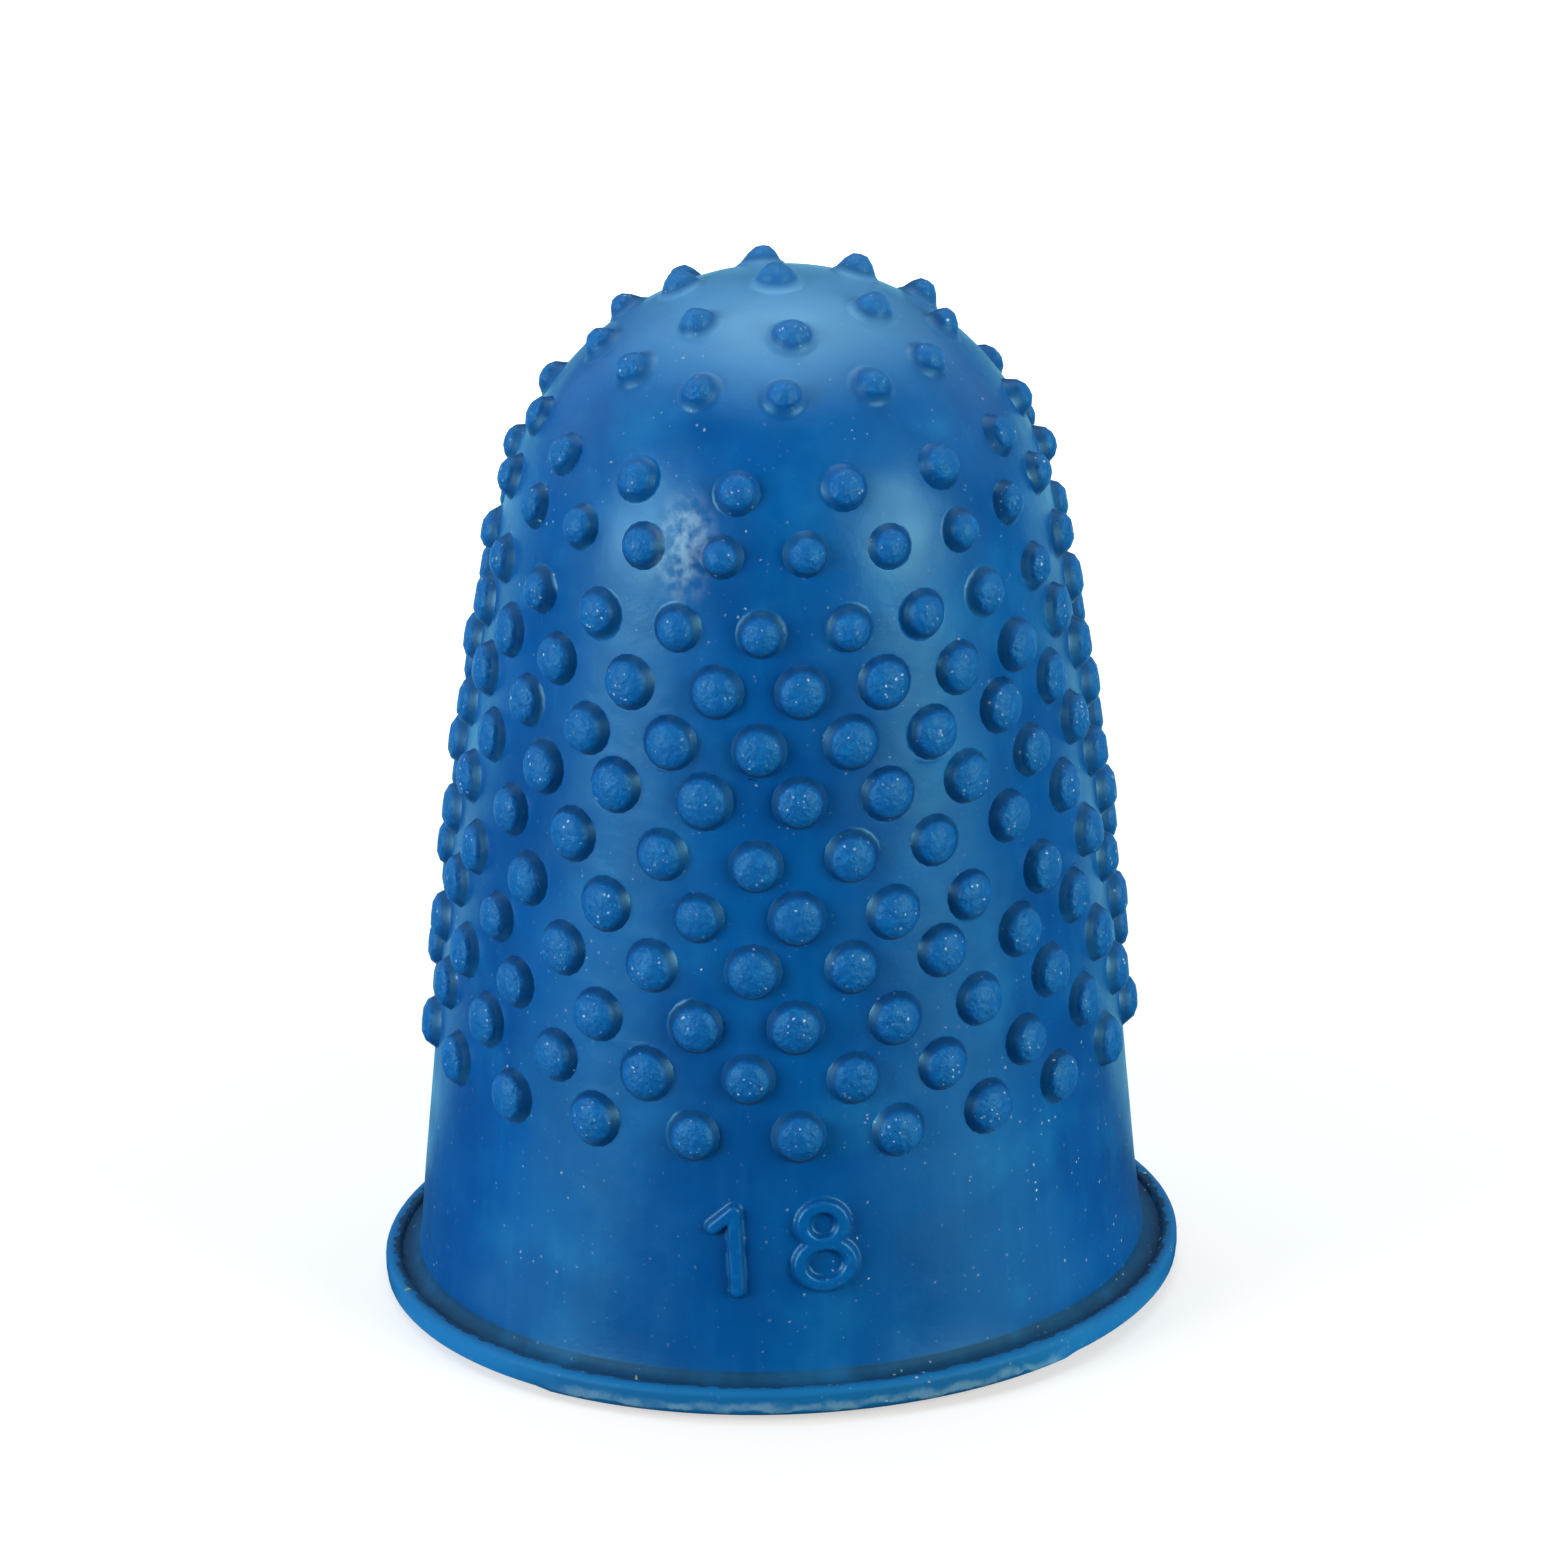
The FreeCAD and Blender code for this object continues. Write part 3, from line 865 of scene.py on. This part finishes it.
def specks(cell, radius, share):
    """Rough specks: one in each cell of a grid of this size, in a share of the cells, each its own size."""
    cells = add("ShaderNodeTexVoronoi", {"Vector": shaken, "Scale": per(cell)})
    draws = add("ShaderNodeSeparateColor", {"Color": cells.outputs["Color"]})
    size = where((draws.outputs[1], 0, 1, 0.35 * radius / cell, radius / cell))
    nearness = add("ShaderNodeMath", {0: cells.outputs["Distance"], 1: size}, operation="DIVIDE").outputs[0]
    chosen = add("ShaderNodeMath", {0: draws.outputs[0], 1: share}, operation="LESS_THAN").outputs[0]
    return where((nearness, 0.5, 1, 1, 0), chosen)


dusty_side = where(spot((8.5, -5.5, 5.0), (5.5, 5.5, 5.5), softness=0.7), 0.7)
dusty = add("ShaderNodeMath", {0: mottling(DUSTY_SIZE, 3, 0.45, 0.62, 0.12, 0.6), 1: dusty_side},
            operation="ADD", use_clamp=True).outputs[0]
clusters = where(dusty, mottling(CLUSTER_SIZE, 3, 0.45, 0.66, 0.1, 1.0))
fine_dust = where(specks(cell=0.2, radius=0.055, share=0.4), clusters, 0.85)
coarse_dust = where(specks(cell=1.0, radius=0.065, share=0.16), 0.8)
glint_patches = where((rise_here, 0.6, 0.8), mottling(GLINT_SIZE, 2, 0.4, 0.6, 0.1, 1.0))
# White specks on the tips of the nubs are painted glints.
tip_glints = where(specks(cell=0.15, radius=0.05, share=0.4), glint_patches, 0.75)
torn_flecks = where(specks(cell=0.35, radius=0.09, share=0.45), torn, 0.9)
crumb = where(spot((-10.35, -3.1, 0.7), (0.14, 0.12, 0.2), softness=0.6), 0.9)
hair = where(spot((-4.05, -9.6, 0.72), (0.05, 0.35, 0.25), softness=0.4), 0.7)
for colour, mask in ((DUST_AND_GLINT_WHITE, fine_dust), (DUST_AND_GLINT_WHITE, coarse_dust), (DUST_AND_GLINT_WHITE, tip_glints), (DUST_AND_GLINT_WHITE, torn_flecks),
                     (CRUMB, crumb), (HAIR, hair)):
    body = add("ShaderNodeMix", {"Factor": mask, 6: body, 7: colour}, data_type="RGBA").outputs[2]
tree.links.new(body, surface.inputs["Base Color"])
print(len(tree.nodes), "nodes with the dust and dirt")

# %% [markdown]
# Moulded rubber shines softly: the wall took the polish of the mould, and the nubs and the rim are rougher.
# The highlights are tinted towards cyan, because those on the real blue hold hardly any red. Three layers of
# bump break the edges of the reflections: a fine grain, a slow swell and a coarser grain on the tips of the
# nubs. Each is given by its size in millimetres, its detail, its strength, its depth in millimetres and the
# masks that bound it.

# %% Rubber: sheen, roughness and grain
RUBBER_IOR = 1.52
GLOSS_TINT = (0.34, 0.87, 1.0, 1.0)
SHEEN_TINT = (0.35, 0.85, 1.0, 1.0)
POLISH_SIZE = 1.4
NUB_ROUGHNESS = 0.5
RIM_ROUGHNESS = 0.62

surface.inputs["IOR"].default_value = RUBBER_IOR
surface.inputs["Specular Tint"].default_value = GLOSS_TINT
surface.inputs["Sheen Weight"].default_value = 0.06
surface.inputs["Sheen Roughness"].default_value = 0.35
surface.inputs["Sheen Tint"].default_value = SHEEN_TINT
on_nub = where((rise_here, 0.02, 0.3))
low_rim = add("ShaderNodeMath", {0: rim_here, 1: trough_here}, operation="ADD", use_clamp=True).outputs[0]
rough = mottling(POLISH_SIZE, 4, 0.3, 0.7, 0.30, 0.40)
for level, mask in ((NUB_ROUGHNESS, on_nub), (RIM_ROUGHNESS, low_rim)):
    rough = add("ShaderNodeMix", {"Factor": mask, "A": rough, "B": level}, data_type="FLOAT").outputs[0]
tree.links.new(rough, surface.inputs["Roughness"])

under = {}
for size, detail, strength, depth, masks in ((0.09, 2, 0.35, 0.008, ()), (0.7, 3, 0.5, 0.03, ()),
                                             (0.22, 4, 1.0, 0.09, (nub_tips,))):
    noise = add("ShaderNodeTexNoise", {"Vector": coordinates, "Scale": per(size), "Detail": detail})
    bump = add("ShaderNodeBump", {"Height": where(noise.outputs["Fac"], *masks), "Strength": strength,
                                  "Distance": depth * MM, **under})
    under = {"Normal": bump.outputs["Normal"]}
tree.links.new(under["Normal"], surface.inputs["Normal"])
tip.data.materials.append(rubber)
print(len(tree.nodes), "nodes in the finished rubber")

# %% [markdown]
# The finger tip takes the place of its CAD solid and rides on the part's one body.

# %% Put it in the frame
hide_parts("finger_tip")
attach(tip, "root")
print(tip.name, "stands for the packed solid")

# %% [markdown]
# The photograph was taken with a long lens from a little above. The camera looks at a point on the axis
# about half way up, and its distance, tilt and lens were worked out from the ellipses of the rim and the
# rings. It is rolled by about a degree, as the picture is.

# %% Camera
CAMERA_DISTANCE = 0.6
CAMERA_TILT = math.radians(22.61)
CAMERA_ROLL = math.radians(-1.20)
TARGET = Vector((0.34 * MM, 0, 14.41 * MM))
PIXELS_PER_MM = 36.27
PHOTO_WIDTH = 1568
SENSOR_WIDTH = 36

forward = Vector((0, math.cos(CAMERA_TILT), -math.sin(CAMERA_TILT)))
right = Vector((1, 0, 0))
above = Vector((0, math.sin(CAMERA_TILT), math.cos(CAMERA_TILT)))
rolled_right = math.cos(CAMERA_ROLL) * right + math.sin(CAMERA_ROLL) * above
rolled_up = math.cos(CAMERA_ROLL) * above - math.sin(CAMERA_ROLL) * right
camera_data = bpy.data.cameras.new("camera")
camera_data.sensor_width = SENSOR_WIDTH
camera_data.lens = PIXELS_PER_MM * CAMERA_DISTANCE / MM / PHOTO_WIDTH * SENSOR_WIDTH
camera = bpy.data.objects.new("camera", camera_data)
bpy.context.collection.objects.link(camera)
facing = Matrix((rolled_right, rolled_up, -forward)).transposed()
camera.rotation_euler = facing.to_euler()
camera.location = TARGET - CAMERA_DISTANCE * forward
bpy.context.scene.camera = camera
print("lens:", round(camera_data.lens, 1), "mm")

# %% [markdown]
# The object stands on a plain white floor. The camera sees the floor white, but the floor that the object
# sees is dark in front, or its reflection in the satin skirt would wash out the deep blue. Pale cards seem
# to lie on it at both sides and behind, which give the skirt its pale bands and its thin pale edges. They
# are cyan, because the photograph's highlights on the blue hold hardly any red. What the camera sees glows a
# little, more so away from the object, and the shadow round the foot stays. The cards' edges are in degrees
# round from the front, and the glow's distances in millimetres.

# %% Floor
FLOOR_SIZE = 4
DARK_FLOOR = linear("#3C3C3C")
CARD = linear("#A8F8FF")
WHITE_FLOOR = linear("#C4C4C4")
NEAR_GLOW = 0.55
FAR_GLOW = 1.0
GLOW_REACH = (12, 80)
SIDE_CARD = (46, 72)
BACK_CARD = 126
CARD_EDGE = 10

bpy.ops.mesh.primitive_plane_add(size=FLOOR_SIZE)
floor = bpy.context.active_object
floor.name = "floor"
paper = bpy.data.materials.new("white_floor")
paper.use_nodes = True
tree = paper.node_tree
paper_surface = tree.nodes["Principled BSDF"]
paper_surface.inputs["Roughness"].default_value = 0.9
paper_surface.inputs["Specular IOR Level"].default_value = 0

on_floor = add("ShaderNodeTexCoord").outputs["Object"]
floor_place = add("ShaderNodeSeparateXYZ", {"Vector": on_floor})
to_front = add("ShaderNodeMath", {0: floor_place.outputs["Y"], 1: -1.0}, operation="MULTIPLY").outputs[0]
round_floor = add("ShaderNodeMath", {0: floor_place.outputs["X"], 1: to_front},
                  operation="ARCTAN2").outputs[0]
round_floor = add("ShaderNodeMath", {0: round_floor}, operation="ABSOLUTE").outputs[0]
side_card = where((round_floor, math.radians(SIDE_CARD[0] - CARD_EDGE), math.radians(SIDE_CARD[0])),
                  (round_floor, math.radians(SIDE_CARD[1]), math.radians(SIDE_CARD[1] + CARD_EDGE), 1, 0))
back_card = where((round_floor, math.radians(BACK_CARD - CARD_EDGE), math.radians(BACK_CARD)))
cards = add("ShaderNodeMath", {0: side_card, 1: back_card}, operation="ADD", use_clamp=True).outputs[0]
seen_by_camera = add("ShaderNodeLightPath").outputs["Is Camera Ray"]
paper_colour = DARK_FLOOR
for colour, mask in ((CARD, cards), (WHITE_FLOOR, seen_by_camera)):
    paper_colour = add("ShaderNodeMix", {"Factor": mask, 6: paper_colour, 7: colour},
                       data_type="RGBA").outputs[2]
tree.links.new(paper_colour, paper_surface.inputs["Base Color"])
distance_out = add("ShaderNodeVectorMath", {0: on_floor}, operation="LENGTH").outputs["Value"]
glow = where((distance_out, GLOW_REACH[0] * MM, GLOW_REACH[1] * MM, NEAR_GLOW, FAR_GLOW), seen_by_camera)
tree.links.new(glow, paper_surface.inputs["Emission Strength"])
paper_surface.inputs["Emission Color"].default_value = (1, 1, 1, 1)
floor.data.materials.append(paper)
print("floor:", FLOOR_SIZE, "m wide,", len(tree.nodes), "nodes")

# %% [markdown]
# Two tall soft boxes stand left and right of the camera, which give the satin rubber its two broad pale
# bands and leave the middle dark. The right one is a shade warmer. One more hangs behind and above, which
# whitens the top of the crown, and two small ones reach its left and right from behind. The studio itself is
# nearly dark, and white only where the camera sees it. A box's place is its turn from the front towards +X
# and its height above the floor, both in degrees, and its distance in metres.

# %% Light
WORLD_LEVEL = 0.08
STUDIO = linear("#9EDDF0")
WHITE = linear("#FFFFFF")
AIM_HEIGHT = 15

world = bpy.data.worlds.new("studio")
world.use_nodes = True
tree = world.node_tree
backdrop = tree.nodes["Background"]
seen_sky = add("ShaderNodeLightPath").outputs["Is Camera Ray"]
sky = add("ShaderNodeMix", {"Factor": seen_sky, 6: STUDIO, 7: WHITE}, data_type="RGBA").outputs[2]
tree.links.new(sky, backdrop.inputs["Color"])
tree.links.new(where((seen_sky, 0, 1, WORLD_LEVEL, 1)), backdrop.inputs["Strength"])
bpy.context.scene.world = world


def soft_box(name, turn, height, distance, width, tall, brightness, colour="#FFFFFF"):
    """A rectangular lamp that faces the object; a brightness of 1 looks plain white in a reflection."""
    lamp = bpy.data.lights.new(name, "AREA")
    lamp.color = linear(colour)[:3]
    lamp.shape = "RECTANGLE"
    lamp.size, lamp.size_y = width, tall
    lamp.energy = brightness * math.pi * width * tall
    box = bpy.data.objects.new(name, lamp)
    around, raised = math.radians(turn), math.radians(height)
    direction = Vector((math.sin(around) * math.cos(raised), -math.cos(around) * math.cos(raised),
                        math.sin(raised)))
    box.location = Vector((0, 0, AIM_HEIGHT * MM)) + distance * direction
    box.rotation_euler = direction.to_track_quat("Z", "Y").to_euler()
    bpy.context.collection.objects.link(box)
    print(name, "at", turn, "degrees:", round(lamp.energy, 2), "W")


soft_box("left_box", -61, 12, 0.6, width=0.3, tall=0.5, brightness=8.6)
soft_box("right_box", 55, 12, 0.6, width=0.3, tall=0.5, brightness=8.6, colour="#FFFAEC")
soft_box("back_box", 180, 72, 0.6, width=0.4, tall=0.6, brightness=2.2)
soft_box("left_back_box", -124, 34, 0.6, width=0.6, tall=0.6, brightness=0.9, colour="#D0F0FF")
soft_box("right_back_box", 124, 34, 0.6, width=0.6, tall=0.6, brightness=0.8, colour="#D0F0FF")

# %% [markdown]
# The Standard view shows each colour about as it is written.

# %% View
bpy.context.scene.view_settings.view_transform = "Standard"
print("view:", bpy.context.scene.view_settings.view_transform)
